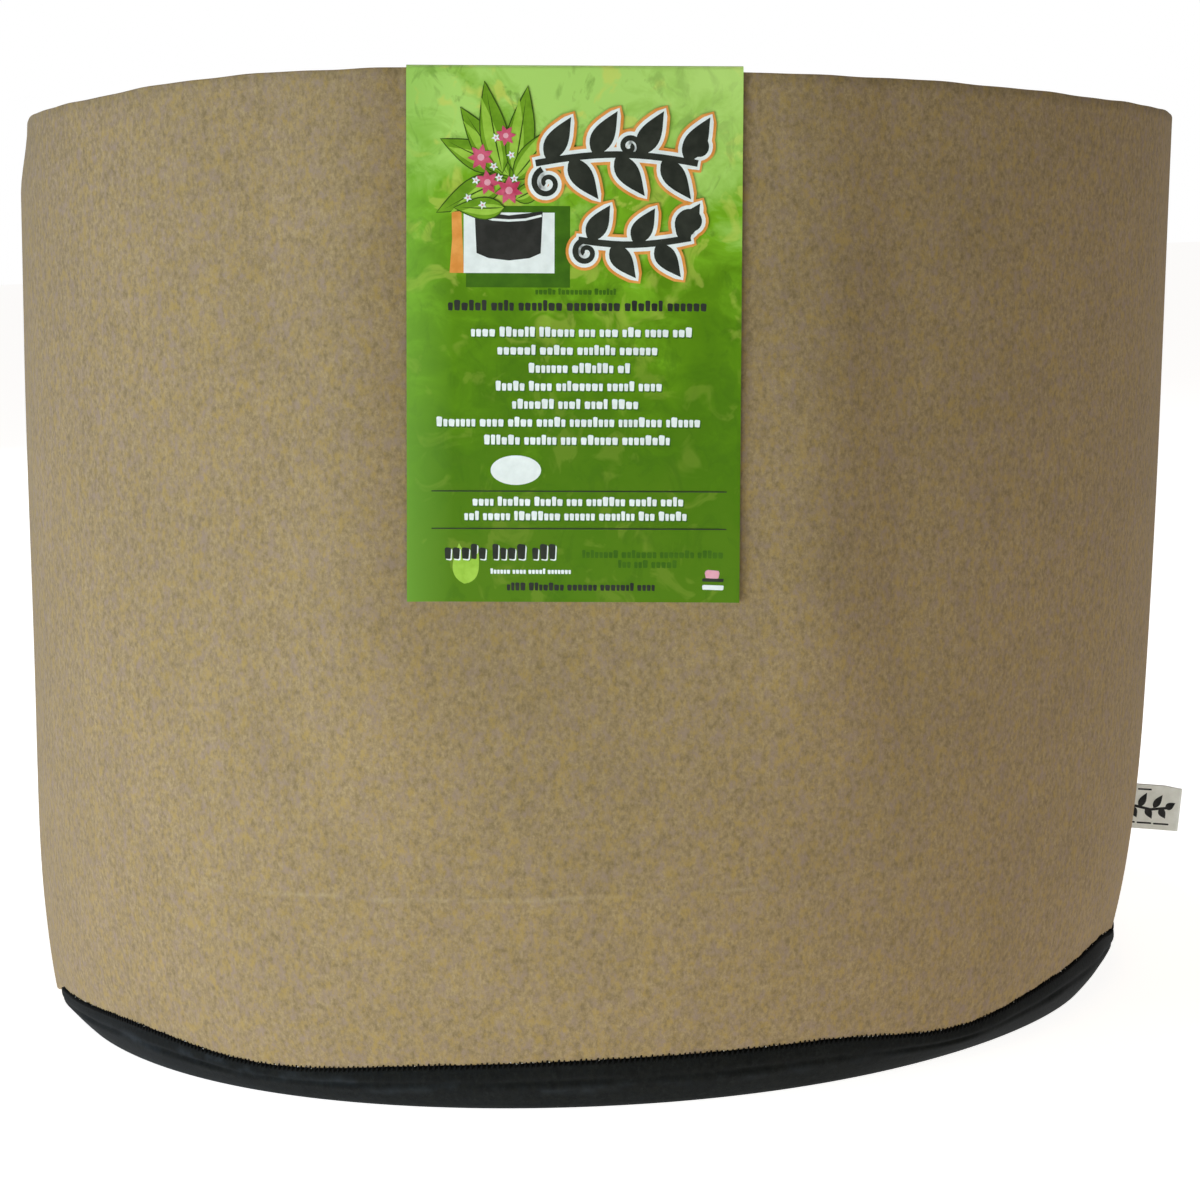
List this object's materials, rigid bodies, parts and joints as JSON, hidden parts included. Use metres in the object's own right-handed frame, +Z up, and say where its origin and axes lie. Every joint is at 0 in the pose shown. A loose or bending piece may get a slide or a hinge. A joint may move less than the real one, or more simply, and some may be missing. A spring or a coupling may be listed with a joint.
{
  "type": "fabric grow bag",
  "caption": "Round free-standing felt plant pot with a tan wall, a black bottom with a turned-up sewn margin, a side loop label and a folded hang card over the rim.",
  "frame": {"origin": "centre of the flat underside, on the floor", "axes": "+Z up, -Y towards the front where the card hangs, +X towards the side seam and its label"},
  "size_m": [0.4282, 0.4039, 0.3249],
  "materials": {
    "tan_felt": "matte",
    "black_felt": "matte",
    "black_thread": "matte",
    "tan_thread": "matte",
    "label_ribbon": "matte",
    "printed_card": "satin"
  },
  "bodies": {
    "bag": {"wall_panel": "tan_felt", "base_panel": "black_felt", "base_seam_needle_thread": "black_thread", "base_seam_bobbin_thread": "black_thread", "side_seam_needle_thread": "tan_thread", "side_seam_bobbin_thread": "tan_thread", "side_tag_tail": "label_ribbon"},
    "card": {"card_back": "printed_card"},
    "card_flap": {"card_front": "printed_card"},
    "tag": {"side_tag_loop": "label_ribbon"}
  },
  "joints": [
    {"name": "card_lift", "type": "slide", "parent": "bag", "child": "card", "axis": [0.0374, 0.0532, 0.9979], "range_m": [0, 0.09]},
    {"name": "card_fold", "type": "hinge", "parent": "card", "child": "card_flap", "pos_m": [0.008, -0.18801, 0.3229], "axis": [-0.9992, 0, 0.0401], "range_deg": [0, 100]},
    {"name": "tag_bend", "type": "hinge", "parent": "bag", "child": "tag", "pos_m": [0.20252, 0.01052, 0.045], "axis": [0.1354, 0.0044, 0.9908], "range_deg": [-75, 75], "stiffness_Nm_per_rad": 0.0001}
  ]
}
